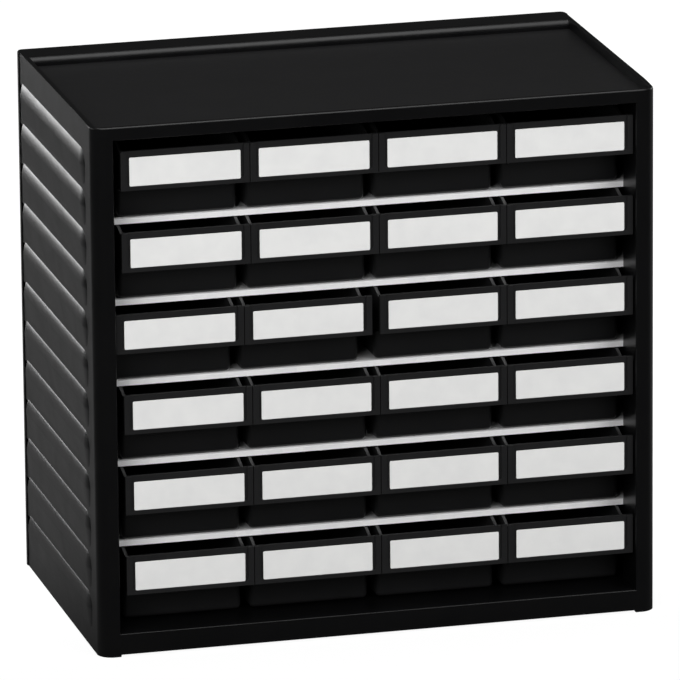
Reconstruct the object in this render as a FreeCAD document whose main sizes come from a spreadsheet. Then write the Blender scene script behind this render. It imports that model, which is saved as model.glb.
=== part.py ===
import FreeCAD, Part
import math
import os
import Sketcher

# A parts bin cabinet: a moulded frame with five steel shelves and twenty-four drawers.
# Origin on the floor under the middle of the cabinet, +X to the right, +Z up, the front faces -Y.
# Every length is in millimetres.

# Driving dimensions, in the order in which they fill the sheet
SIZES = {
    # the cabinet as a whole
    "cabinet_width": 310,
    "cabinet_depth": 180,
    "cabinet_height": 290,
    # the frame
    "step_rise": 1.4,
    "front_radius": 8,
    "back_radius": 3,
    "post_width": 11.4,
    "post_depth": 24.4,
    "wall": 3,
    "back_wall": 2.6,
    "rail_height": 7.4,
    "top_recess": 5,
    "top_thickness": 2,
    "rim_width": 2.6,
    "rear_rim": 16,
    "rear_round": 4.5,
    "rim_bevel": 1,
    "floor_height": 12.6,
    "floor_thickness": 3,
    "foot_rise": 1.2,
    "plinth_wall": 3,
    "opening_round": 1.2,
    "back_panel_recess": 0.9,
    "back_panel_border": 12,
    # the stepped panels outside and the ledges inside
    "top_slack": 4.2,
    "step_first": 8.2,
    "step_slope": 4,
    "step_gap": 1.2,
    "step_front": 18,
    "step_back": 13,
    "step_corner": 4,
    "flange_depth": 6,
    "pocket_length": 5.4,
    "pocket_height": 5.6,
    "pocket_depth": 1.5,
    "pocket_below": 1.2,
    "ledge_depth": 8,
    "ledge_thickness": 2,
    "ledge_setback": 28,
    # the steel shelves
    "sheet": 1,
    "sheet_bend": 1.2,
    "lip_height": 3.4,
    "shelf_setback": 25,
    "shelf_clearance": 0.3,
    # the drawers
    "drawer_front": 3,
    "drawer_gap": 0.4,
    "drawer_rise": 0.3,
    "plate_height": 21.2,
    "plate_thickness": 2.6,
    "plate_headroom": 3.1,
    "plate_overhang": 2.15,
    "tub_headroom": 4.1,
    "tub_back_gap": 0.8,
    "tub_wall": 1.6,
    "tub_radius": 3.2,
    "tub_bottom_bevel": 2.2,
    "hopper_depth": 21.2,
    "hopper_drop": 26,
    "hopper_tuck": 2.4,
    "row_margin": 0.8,
    "row_play": 4.4,
    # the label holder and its card
    "holder_rim": 3.1,
    "holder_depth": 0.9,
    "holder_corner": 2,
    "holder_floor": 2.3,
    "card_play": 3.3,
    "card_drop": 3.4,
    "card_thickness": 0.4,
}

# Counts
ROWS = 6
COLUMNS = 4
STEPS_PER_ROW = 2
# The row, counted from the top, whose first two drawers stand pushed to the left
LOOSE_ROW = 3
LOOSE_COLUMNS = 2

# How far a cutting shape runs past the face it starts from
OVERRUN = 2

# Sizes closer than this are taken as equal when edges are picked
NEAR = 0.001
ALONG_X = FreeCAD.Vector(1, 0, 0)
ALONG_Z = FreeCAD.Vector(0, 0, 1)


class Size:
    """A length that carries its number and its spreadsheet formula together."""

    def __init__(self, number, text):
        self.number = number
        self.text = text

    def join(self, other, sign, number):
        text = other.text if isinstance(other, Size) else repr(other)
        return Size(number, "(%s %s %s)" % (self.text, sign, text))

    def __add__(self, other):
        return self.join(other, "+", self.number + number_of(other))

    def __sub__(self, other):
        return self.join(other, "-", self.number - number_of(other))

    def __mul__(self, other):
        return self.join(other, "*", self.number * number_of(other))

    def __truediv__(self, other):
        return self.join(other, "/", self.number / number_of(other))

    def __neg__(self):
        return Size(-self.number, "(-1 * %s)" % self.text)


def number_of(value):
    """The plain number in a size or a count."""
    return value.number if isinstance(value, Size) else value


doc = FreeCAD.newDocument("PartsCabinet")
sheet = doc.addObject("Spreadsheet::Sheet", "Sizes")
SIZES["overrun"] = OVERRUN
for index, (alias, value) in enumerate(SIZES.items(), start=1):
    sheet.set("A%d" % index, alias)
    sheet.set("B%d" % index, str(value))
    sheet.setAlias("B%d" % index, alias)
doc.recompute()


def size(alias):
    """One driving dimension, as a number and as a formula that reads the sheet."""
    return Size(SIZES[alias], "Sizes.%s" % alias)


ZERO = Size(0, "0")


def bind(thing, prop, value):
    """Sets a property from a size and ties it to the sheet."""
    thing.setExpression(prop, value.text)


def new_body(name, label):
    """An empty body whose label names its file."""
    body = doc.addObject("PartDesign::Body", name)
    body.Label = label
    return body


def plane_of(body, role):
    """One of the body's own origin planes."""
    for feature in body.Origin.OriginFeatures:
        if feature.Role == role:
            return feature
    raise ValueError("no plane called " + role)


def new_sketch(body, name, role, level=None):
    """A sketch on an origin plane, lifted off it along the plane's normal by a size."""
    sketch = body.newObject("Sketcher::SketchObject", name)
    sketch.AttachmentSupport = [(plane_of(body, role), "")]
    sketch.MapMode = "FlatFace"
    if level is not None:
        bind(sketch, "AttachmentOffset.Base.z", level)
    return sketch


def fix_point(sketch, line, point, x, y):
    """Ties one point of a sketch to the sheet, measured from the sketch's origin."""
    for kind, axis, value in (("DistanceX", -2, x), ("DistanceY", -1, y)):
        if value.number == 0:
            sketch.addConstraint(Sketcher.Constraint("PointOnObject", line, point, axis))
            continue
        if value.number > 0:
            ends = (-1, 1, line, point)
        else:
            ends = (line, point, -1, 1)
            value = -value
        made = sketch.addConstraint(Sketcher.Constraint(kind, *ends, value.number))
        sketch.setExpression("Constraints[%d]" % made, value.text)


def draw_outline(sketch, points):
    """A closed outline of straight lines through points that are given as pairs of sizes."""
    first = sketch.GeometryCount
    corners = [FreeCAD.Vector(x.number, y.number, 0) for x, y in points]
    count = len(corners)
    for index in range(count):
        sketch.addGeometry(Part.LineSegment(corners[index], corners[(index + 1) % count]), False)
    for index in range(count):
        after = first + (index + 1) % count
        sketch.addConstraint(Sketcher.Constraint("Coincident", first + index, 2, after, 1))
    for index, (x, y) in enumerate(points):
        fix_point(sketch, first + index, 1, x, y)


def draw_box(sketch, left, right, low, high):
    """A rectangle given by the sizes of its four sides."""
    draw_outline(sketch, [(left, low), (right, low), (right, high), (left, high)])


def draw_rounded_box(sketch, left, right, low, high, radii):
    """A rectangle with rounded corners; radii run anticlockwise from the lower left, None for a sharp one."""
    quarter = math.pi / 2
    corners = ((left, low, 1, 1), (right, low, -1, 1), (right, high, -1, -1), (left, high, 1, -1))
    ends = []
    for index, ((x, y, across, up), radius) in enumerate(zip(corners, radii)):
        if radius is None:
            ends.append(((x, y), (x, y), None))
            continue
        centre_x = x + radius if across > 0 else x - radius
        centre_y = y + radius if up > 0 else y - radius
        middle = FreeCAD.Vector(centre_x.number, centre_y.number, 0)
        start = math.pi + index * quarter
        circle = Part.Circle(middle, ALONG_Z, radius.number)
        arc = sketch.addGeometry(Part.ArcOfCircle(circle, start, start + quarter), False)
        made = sketch.addConstraint(Sketcher.Constraint("Radius", arc, radius.number))
        sketch.setExpression("Constraints[%d]" % made, radius.text)
        level = (centre_x, y)
        upright = (x, centre_y)
        ends.append((upright, level, arc) if index % 2 == 0 else (level, upright, arc))
    lines = []
    for index in range(len(ends)):
        leave = ends[index][1]
        reach = ends[(index + 1) % len(ends)][0]
        points = [FreeCAD.Vector(x.number, y.number, 0) for x, y in (leave, reach)]
        lines.append(sketch.addGeometry(Part.LineSegment(*points), False))
    for index, (start, leave, arc) in enumerate(ends):
        before = lines[index - 1]
        after = lines[index]
        if arc is None:
            sketch.addConstraint(Sketcher.Constraint("Coincident", before, 2, after, 1))
            fix_point(sketch, after, 1, *leave)
        else:
            sketch.addConstraint(Sketcher.Constraint("Tangent", before, 2, arc, 1))
            sketch.addConstraint(Sketcher.Constraint("Tangent", arc, 2, after, 1))
            fix_point(sketch, arc, 3, *(centre_of(start, leave, index)))


def centre_of(start, leave, index):
    """The centre of a rounded corner, from its two ends."""
    return (leave[0], start[1]) if index % 2 == 0 else (start[0], leave[1])


def add_pad(body, name, sketch, length, midplane=False, reverse=False):
    """Adds a straight block with the sketch's outline."""
    pad = body.newObject("PartDesign::Pad", name)
    pad.Profile = sketch
    pad.Midplane = midplane
    pad.Reversed = reverse
    bind(pad, "Length", length)
    sketch.Visibility = False
    doc.recompute()
    return pad


def add_pocket(body, name, sketch, length, midplane=False, reverse=False):
    """Cuts a straight hollow with the sketch's outline, and checks that it removes something."""
    before = body.Shape.Volume
    pocket = body.newObject("PartDesign::Pocket", name)
    pocket.Profile = sketch
    pocket.Midplane = midplane
    pocket.Reversed = reverse
    bind(pocket, "Length", length)
    sketch.Visibility = False
    doc.recompute()
    if body.Shape.Volume >= before:
        raise ValueError("%s cuts nothing" % name)
    return pocket


def add_row(body, name, features, axis_role, step, count, reverse=False):
    """Repeats features along one of the body's axes at a fixed pitch."""
    pattern = body.newObject("PartDesign::LinearPattern", name)
    pattern.Originals = features
    for feature in body.Origin.OriginFeatures:
        if feature.Role == axis_role:
            pattern.Direction = (feature, [""])
    pattern.Reversed = reverse
    pattern.Occurrences = count
    pattern.Mode = "Spacing"
    bind(pattern, "Offset", step)
    body.Tip = pattern
    doc.recompute()
    return pattern


def dress_edges(body, kind, name, picks, prop, amount):
    """Dresses the edges of the body's newest feature that the picking rule accepts."""
    base = body.Tip
    names = ["Edge%d" % number for number, edge in enumerate(base.Shape.Edges, start=1) if picks(edge)]
    if not names:
        raise ValueError("%s finds no edge" % name)
    dressed = body.newObject(kind, name)
    dressed.Base = (base, names)
    bind(dressed, prop, amount)
    doc.recompute()
    return dressed


def add_fillet(body, name, picks, radius):
    """Rounds edges."""
    return dress_edges(body, "PartDesign::Fillet", name, picks, "Radius", radius)


def add_chamfer(body, name, picks, width):
    """Bevels edges at forty-five degrees."""
    return dress_edges(body, "PartDesign::Chamfer", name, picks, "Size", width)


def runs_along(edge, axis, length=None):
    """True for a straight edge parallel to an axis, of a given length if one is named."""
    if edge.Curve.TypeId != "Part::GeomLine":
        return False
    tangent = edge.tangentAt(edge.FirstParameter)
    if abs(abs(tangent.dot(axis)) - 1) > NEAR:
        return False
    return length is None or abs(edge.Length - length) < NEAR


# Sizes that several pieces share
front_face = -size("cabinet_depth") / 2
back_face = size("cabinet_depth") / 2
# The plain faces of the side walls, with the stepped panels standing out from them
side_face = size("cabinet_width") / 2 - size("step_rise")
opening_side = side_face - size("post_width")
inner_side = side_face - size("wall")
inner_back = back_face - size("back_wall")
post_rear = front_face + size("post_depth")
floor_top = size("floor_height")
opening_top = size("cabinet_height") - size("rail_height")
ceiling = size("cabinet_height") - size("top_recess") - size("top_thickness")
# Two steps of the side panels and of the ledges make one row of drawers
step_pitch = (opening_top - floor_top - size("top_slack")) / (ROWS * STEPS_PER_ROW)
row_pitch = step_pitch * STEPS_PER_ROW
# The drawers fill the opening, less the play that lets them slide
plates_width = opening_side * 2 - size("row_margin") - size("row_play") - size("drawer_gap") * (COLUMNS - 1)
plate_width = plates_width / COLUMNS
plate_top = row_pitch - size("plate_headroom")
plate_low = plate_top - size("plate_height")
tub_width = plate_width - size("plate_overhang") * 2
tub_height = row_pitch - size("tub_headroom")
tub_depth = inner_back - size("tub_back_gap") - front_face - size("drawer_front") - size("hopper_depth")
# The height at which the hopper begins to lean out
knee = plate_top - size("hopper_drop")


def make_frame():
    """The moulded frame that everything else stands in."""
    body = new_body("CabinetShell", "cabinet_shell")
    add_outer_block(body)
    hollow_out(body)
    sink_the_top(body)
    free_the_feet(body)
    add_ledges(body)
    add_stepped_sides(body)
    round_the_frame(body)
    return body


def add_outer_block(body):
    """The block that the frame is cut from, with its big rounded front corners."""
    outline = new_sketch(body, "FrameOutline", "XY_Plane")
    front = size("front_radius")
    back = size("back_radius")
    draw_rounded_box(outline, -side_face, side_face, front_face, back_face, (front, front, back, back))
    add_pad(body, "FrameBlock", outline, size("cabinet_height"))


def hollow_out(body):
    """The drawer space, its narrower front opening and the hollow under the floor."""
    opening = new_sketch(body, "OpeningOutline", "XZ_Plane", -front_face + size("overrun"))
    draw_box(opening, -opening_side, opening_side, floor_top, opening_top)
    add_pocket(body, "Opening", opening, size("post_depth") + size("overrun") * 2)
    space = new_sketch(body, "SpaceOutline", "XZ_Plane", -post_rear)
    draw_box(space, -inner_side, inner_side, floor_top, ceiling)
    add_pocket(body, "DrawerSpace", space, inner_back - post_rear)
    under = new_sketch(body, "UndersideOutline", "XY_Plane")
    draw_box(under, -inner_side, inner_side, front_face + size("plinth_wall"), inner_back)
    add_pocket(body, "Underside", under, floor_top - size("floor_thickness"), reverse=True)


def sink_the_top(body):
    """The tray in the top, which keeps small things from rolling off, and the plain panel in the back."""
    tray = new_sketch(body, "TrayOutline", "XY_Plane", size("cabinet_height"))
    side = side_face - size("rim_width")
    front = front_face + size("rim_width")
    back = back_face - size("rear_rim")
    inner = size("front_radius") - size("rim_width")
    draw_rounded_box(tray, -side, side, front, back, (inner, inner, None, None))
    add_pocket(body, "Tray", tray, size("top_recess"))
    panel = new_sketch(body, "BackPanelOutline", "XZ_Plane", -back_face)
    border = size("back_panel_border")
    draw_box(panel, border - side_face, side_face - border, border + floor_top, ceiling - border)
    add_pocket(body, "BackPanel", panel, size("back_panel_recess"), reverse=True)


def free_the_feet(body):
    """Lifts the plinth and the back edge off the ground, so the cabinet stands on its sides."""
    gap = new_sketch(body, "FootGapOutline", "XZ_Plane", -front_face + size("overrun"))
    draw_box(gap, -opening_side, opening_side, ZERO, size("foot_rise"))
    add_pocket(body, "FootGap", gap, size("cabinet_depth") + size("overrun") * 2)


def add_ledges(body):
    """The pairs of ledges inside the side walls, every second one of which carries a shelf."""
    level = floor_top + step_pitch - size("sheet")
    face = new_sketch(body, "LedgeOutline", "XZ_Plane", -inner_back)
    tip = inner_side - size("ledge_depth")
    low = level - size("ledge_thickness")
    draw_box(face, tip, inner_side, low, level)
    draw_box(face, -inner_side, -tip, low, level)
    length = inner_back - front_face - size("ledge_setback")
    pad = add_pad(body, "Ledges", face, length)
    add_row(body, "LedgeRows", [pad], "Z_Axis", step_pitch, ROWS * STEPS_PER_ROW - 1)


def add_stepped_sides(body):
    """The lapped panels down both sides, the rear flanges, and the pockets between the two."""
    flange = new_sketch(body, "FlangeOutline", "XY_Plane")
    outer = side_face + size("step_rise")
    flange_front = back_face - size("flange_depth")
    flange_back = back_face - size("back_radius")
    draw_box(flange, inner_side, outer, flange_front, flange_back)
    draw_box(flange, -outer, -inner_side, flange_front, flange_back)
    add_pad(body, "Flanges", flange, size("cabinet_height"))

    pocket = new_sketch(body, "PocketOutline", "YZ_Plane", outer)
    rear = flange_front
    front = flange_front - size("pocket_length")
    level = size("step_first") + step_pitch
    pocket_top = level - size("pocket_below")
    draw_box(pocket, front, rear, pocket_top - size("pocket_height"), pocket_top)
    depth = size("step_rise") + size("pocket_depth")
    right = add_pocket(body, "PocketRight", pocket, depth)
    add_row(body, "PocketsRight", [right], "Z_Axis", step_pitch, ROWS * STEPS_PER_ROW)
    mirrored = new_sketch(body, "PocketOutlineLeft", "YZ_Plane", -outer)
    draw_box(mirrored, front, rear, pocket_top - size("pocket_height"), pocket_top)
    left = add_pocket(body, "PocketLeft", mirrored, depth, reverse=True)
    add_row(body, "PocketsLeft", [left], "Z_Axis", step_pitch, ROWS * STEPS_PER_ROW)

    wedge = new_sketch(body, "PanelOutline", "XZ_Plane", -(back_face - size("step_back")))
    low = level - step_pitch + size("step_gap")
    crest = level - size("step_slope")
    root = side_face - size("step_rise")
    draw_outline(wedge, [(root, low), (side_face, low), (outer, crest), (side_face, level), (root, level)])
    draw_outline(wedge, [(-root, low), (-root, level), (-side_face, level), (-outer, crest), (-side_face, low)])
    length = size("cabinet_depth") - size("step_back") - size("step_front")
    pad = add_pad(body, "Panel", wedge, length)
    corners = [cut_panel_corner(body, name, place, level, reverse)
               for name, place, reverse in (("Right", outer, False), ("Left", -outer, True))]
    add_row(body, "Panels", [pad] + corners, "Z_Axis", step_pitch, ROWS * STEPS_PER_ROW)


def cut_panel_corner(body, name, outer, level, reverse):
    """Bevels the upper front corner of the lowest panel on one side."""
    corner = new_sketch(body, "PanelCornerOutline" + name, "YZ_Plane", outer)
    start = front_face + size("step_front")
    front = start - size("overrun")
    cut = size("step_corner")
    # Half the gap to the next panel, so that the cut leaves that panel's foot alone
    above = size("step_gap") / 2
    draw_outline(corner, [
        (front, level - cut - size("overrun")),
        (start + cut + above, level + above),
        (front, level + above),
    ])
    return add_pocket(body, "PanelCorner" + name, corner, size("step_rise"), reverse=reverse)


def round_the_frame(body):
    """Softens the front rim, the tray's rear edge and the rim of the opening."""
    top = size("cabinet_height").number
    front = front_face.number
    rear = (back_face - size("rear_rim")).number
    add_chamfer(body, "FrontRim",
                lambda edge: abs(edge.CenterOfMass.z - top) < NEAR and abs(edge.CenterOfMass.y - front) < NEAR,
                size("rim_bevel"))
    add_fillet(body, "RearRim",
               lambda edge: runs_along(edge, ALONG_X) and abs(edge.CenterOfMass.z - top) < NEAR
               and abs(edge.CenterOfMass.y - rear) < NEAR, size("rear_round"))
    height = (opening_top - floor_top).number
    width = (opening_side * 2).number
    add_fillet(body, "OpeningRim",
               lambda edge: abs(edge.CenterOfMass.y - front) < NEAR
               and (runs_along(edge, ALONG_Z, height) or runs_along(edge, ALONG_X, width))
               and floor_top.number - NEAR < edge.CenterOfMass.z < opening_top.number + NEAR,
               size("opening_round"))


def make_shelf(number):
    """One galvanised steel shelf: a flat sheet with its front edge folded down."""
    body = new_body("Shelf%d" % number, "shelf_%d" % number)
    level = floor_top + row_pitch * (ROWS - number)
    side = new_sketch(body, "ShelfSide%d" % number, "YZ_Plane")
    front = front_face + size("shelf_setback")
    back = inner_back - size("shelf_clearance")
    sheet_size = size("sheet")
    lip = -size("lip_height")
    draw_outline(side, [
        (front, lip),
        (front + sheet_size, lip),
        (front + sheet_size, -sheet_size),
        (back, -sheet_size),
        (back, ZERO),
        (front, ZERO),
    ])
    width = inner_side * 2 - size("shelf_clearance") * 2
    add_pad(body, "ShelfSheet%d" % number, side, width, midplane=True)
    edge_line = front.number
    add_fillet(body, "ShelfBend%d" % number,
               lambda edge: runs_along(edge, ALONG_X) and abs(edge.CenterOfMass.y - edge_line) < NEAR
               and abs(edge.CenterOfMass.z) < NEAR, size("sheet_bend"))
    place(body, ZERO, ZERO, level)
    return body


def place(body, x, y, z):
    """Puts a body at a place that is tied to the sheet."""
    body.Placement = FreeCAD.Placement(FreeCAD.Vector(x.number, y.number, z.number), FreeCAD.Rotation())
    bind(body, "Placement.Base.x", x)
    bind(body, "Placement.Base.y", y)
    bind(body, "Placement.Base.z", z)


def drawer_place(row, column):
    """Where a drawer's own origin stands: the front of its label plate, at the foot of the tub."""
    pitch = plate_width + size("drawer_gap")
    right_end = opening_side - size("row_margin") - plate_width / 2
    x = right_end - pitch * (COLUMNS - column)
    if row == LOOSE_ROW and column <= LOOSE_COLUMNS:
        x = x - (size("row_play") - size("drawer_gap"))
    level = floor_top + row_pitch * (ROWS - row) + size("drawer_rise")
    return x, front_face + size("drawer_front"), level


def make_drawer(row, column):
    """One drawer: a tub under the shelf, a hopper in front of it, and the label plate."""
    tag = "%d_%d" % (row, column)
    body = new_body("Drawer_" + tag, "drawer_" + tag)
    add_tub(body, tag)
    add_hopper(body, tag)
    hollow_the_drawer(body, tag)
    add_label_holder(body, tag)
    place(body, *drawer_place(row, column))
    return body


def add_tub(body, tag):
    """The part of the drawer that stands under the shelf, with rounded upright corners."""
    outline = new_sketch(body, "TubOutline_" + tag, "XY_Plane")
    half = tub_width / 2
    front = size("hopper_depth")
    radius = size("tub_radius")
    draw_rounded_box(outline, -half, half, front, front + tub_depth, (radius,) * 4)
    add_pad(body, "Tub_" + tag, outline, tub_height)
    bevel = size("tub_bottom_bevel")
    past = -size("overrun")
    back = front + tub_depth
    corners = new_sketch(body, "TubCorners_" + tag, "YZ_Plane")
    draw_outline(corners, [(front + past, past), (front + bevel - past, past), (front + past, bevel - past)])
    draw_outline(corners, [(back - past, past), (back - past, bevel - past), (back - bevel + past, past)])
    add_pocket(body, "TubBottom_" + tag, corners, tub_width + size("overrun"), midplane=True)


def add_hopper(body, tag):
    """The front that leans out over the finger space, and the plate that carries the label."""
    side = new_sketch(body, "HopperSide_" + tag, "YZ_Plane")
    thick = size("plate_thickness")
    rear = size("hopper_depth")
    root = rear + size("tub_radius") + size("tub_wall")
    draw_outline(side, [
        (thick / 2, plate_low + size("hopper_tuck")),
        (rear, knee),
        (root, knee - size("hopper_tuck")),
        (root, tub_height),
        (rear, tub_height),
        (rear, plate_top),
        (thick / 2, plate_top),
    ])
    add_pad(body, "Hopper_" + tag, side, tub_width, midplane=True)
    plate = new_sketch(body, "PlateOutline_" + tag, "XZ_Plane")
    half = plate_width / 2
    draw_box(plate, -half, half, plate_low, plate_top)
    add_pad(body, "Plate_" + tag, plate, thick, reverse=True)


def hollow_the_drawer(body, tag):
    """The inside of the tub and of the hopper, joined into one open tray."""
    wall = size("tub_wall")
    half = tub_width / 2 - wall
    front = size("hopper_depth")
    tub = new_sketch(body, "TubSpaceOutline_" + tag, "XY_Plane", plate_top + size("overrun"))
    draw_box(tub, -half, half, front + wall, front + tub_depth - wall)
    add_pocket(body, "TubSpace_" + tag, tub, plate_top + size("overrun") - wall)
    side = new_sketch(body, "HopperSpaceSide_" + tag, "YZ_Plane")
    thick = size("plate_thickness")
    high = plate_top + size("overrun")
    root = front + wall + size("overrun")
    draw_outline(side, [
        (thick, plate_low + size("hopper_tuck") + wall),
        (front + wall, knee + wall),
        (root, knee + wall),
        (root, high),
        (thick, high),
    ])
    add_pocket(body, "HopperSpace_" + tag, side, half * 2, midplane=True)


def add_label_holder(body, tag):
    """The U-shaped holder: a shallow recess, open at the top, with rounded lower corners."""
    half = plate_width / 2 - size("holder_rim")
    low = plate_low + size("holder_floor")
    high = plate_top + size("overrun")
    corner = size("holder_corner")
    outline = new_sketch(body, "HolderOutline_" + tag, "XZ_Plane")
    draw_rounded_box(outline, -half, half, low, high, (corner, corner, None, None))
    add_pocket(body, "Holder_" + tag, outline, size("holder_depth"))


def make_label(row, column):
    """The plain white card in one drawer's label holder."""
    card = doc.addObject("Part::Box", "Label_%d_%d" % (row, column))
    card.Label = "label_%d_%d" % (row, column)
    width = plate_width - size("holder_rim") * 2 - size("card_play")
    bind(card, "Length", width)
    bind(card, "Width", size("card_thickness"))
    bind(card, "Height", size("plate_height") - size("holder_floor") - size("card_drop"))
    x, y, z = drawer_place(row, column)
    foot = plate_low + size("holder_floor")
    back = size("holder_depth") - size("card_thickness")
    place(card, x - width / 2, y + back, z + foot)
    return card


def export(body):
    """Checks one finished piece and writes its file."""
    shape = body.Shape
    if shape.isNull() or not shape.isValid() or len(shape.Solids) != 1:
        raise ValueError("%s isn't one sound solid" % body.Label)
    shape.exportStep(os.path.join("parts", body.Label + ".step"))


os.makedirs("parts", exist_ok=True)
pieces = [make_frame()]
pieces += [make_shelf(number) for number in range(1, ROWS)]
for row_number in range(1, ROWS + 1):
    for column_number in range(1, COLUMNS + 1):
        pieces.append(make_drawer(row_number, column_number))
        pieces.append(make_label(row_number, column_number))
doc.recompute()
for thing in doc.Objects:
    if "Invalid" in thing.State or "Error" in thing.State:
        raise ValueError("%s is in the state %s" % (thing.Name, thing.State))
for piece in pieces:
    export(piece)
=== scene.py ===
"""Looks of a bench-top parts cabinet: black moulded frame, steel shelves, drawers and label cards.

Every length is in metres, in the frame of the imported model: origin on the ground under the middle of the
cabinet, +X to the right, +Y to the back, +Z up.
"""

import logging  # noqa: E402
import math  # noqa: E402
from dataclasses import dataclass, field  # noqa: E402
from enum import Enum  # noqa: E402
from typing import Callable, Iterable, Sequence  # noqa: E402

import bmesh  # noqa: E402
import bpy  # noqa: E402
from mathutils import Matrix, Vector  # noqa: E402


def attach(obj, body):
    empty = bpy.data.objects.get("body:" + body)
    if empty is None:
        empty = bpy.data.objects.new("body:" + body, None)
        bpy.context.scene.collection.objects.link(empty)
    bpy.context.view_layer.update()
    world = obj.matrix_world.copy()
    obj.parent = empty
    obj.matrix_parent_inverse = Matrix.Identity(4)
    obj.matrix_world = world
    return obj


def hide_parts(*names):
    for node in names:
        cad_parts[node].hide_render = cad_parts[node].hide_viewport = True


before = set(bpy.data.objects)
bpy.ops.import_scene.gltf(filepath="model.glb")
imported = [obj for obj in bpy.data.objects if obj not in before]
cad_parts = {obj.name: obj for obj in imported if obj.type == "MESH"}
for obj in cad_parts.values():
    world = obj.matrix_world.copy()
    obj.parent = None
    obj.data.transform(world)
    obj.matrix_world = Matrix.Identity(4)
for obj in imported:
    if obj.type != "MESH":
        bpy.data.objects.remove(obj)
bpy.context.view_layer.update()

LOG = logging.getLogger("parts_cabinet")

MM = 0.001
# Positions closer than this are the same place
NEAR = 0.01 * MM
# How close to a cutting plane a corner may lie and still be cut through, in metres
CUT_REACH = 1e-7
# A face looks one way when the cosine of its turn from it is larger than this
SAME_WAY = 0.99
# The middle part of a noise pattern's range, which holds nearly all of its values
NOISE_LOW, NOISE_HIGH = 0.3, 0.7

Triple = tuple[float, float, float]


class Side(Enum):
    """The left or the right of the cabinet, as the sign of its X."""

    LEFT = -1
    RIGHT = 1


class Slot(Enum):
    """The record's material slots."""

    FRAME = "frame_plastic"
    DRAWER = "drawer_plastic"
    STEEL = "galvanised_steel"
    CARD = "label_card"


class Facing(Enum):
    """The six directions that flat faces of the pieces look to."""

    LEFT = (-1.0, 0.0, 0.0)
    RIGHT = (1.0, 0.0, 0.0)
    FRONT = (0.0, -1.0, 0.0)
    BACK = (0.0, 1.0, 0.0)
    DOWN = (0.0, 0.0, -1.0)
    UP = (0.0, 0.0, 1.0)


class Shading(Enum):
    """How a piece's normals are set."""

    SOFT = "smooth, with the softened edges' own normals"
    EVEN = "smooth, with large flat faces kept flat beside narrow roundings"
    FLAT = "every facet flat"


class ShaderBench:
    """Adds and joins nodes in one node tree."""

    def __init__(self, tree: bpy.types.NodeTree) -> None:
        """Starts with an empty tree.

        Args:
            tree: the node tree of a material or of the world.
        """
        self.tree = tree
        tree.nodes.clear()

    def add(self, kind: str, **settings: object) -> bpy.types.Node:
        """Adds a node.

        Args:
            kind: the node's type name.
            settings: properties of the node, or values of its inputs by their names with _ for spaces.

        Returns:
            The new node.
        """
        node = self.tree.nodes.new(kind)
        for name, value in settings.items():
            if hasattr(node, name):
                setattr(node, name, value)
            else:
                node.inputs[name.replace("_", " ")].default_value = value
        return node

    def join(self, start: bpy.types.NodeSocket, end: bpy.types.NodeSocket) -> None:
        """Links an output to an input."""
        self.tree.links.new(start, end)

    def show(self, shader: bpy.types.NodeSocket, output: str = "ShaderNodeOutputMaterial") -> None:
        """Links a shader to the tree's output."""
        self.join(shader, self.add(output).inputs["Surface"])

    def spread(self, source: bpy.types.NodeSocket, low: float, high: float) -> bpy.types.NodeSocket:
        """Turns a pattern into a range of values.

        Args:
            source: the pattern's output, from 0 to 1.
            low: the value where the pattern is at its lowest.
            high: the value where it is at its highest.

        Returns:
            The output that carries the new values.
        """
        ramp = self.add("ShaderNodeMapRange")
        ramp.inputs["From Min"].default_value = NOISE_LOW
        ramp.inputs["From Max"].default_value = NOISE_HIGH
        ramp.inputs["To Min"].default_value = low
        ramp.inputs["To Max"].default_value = high
        self.join(source, ramp.inputs["Value"])
        return ramp.outputs["Result"]


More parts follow.
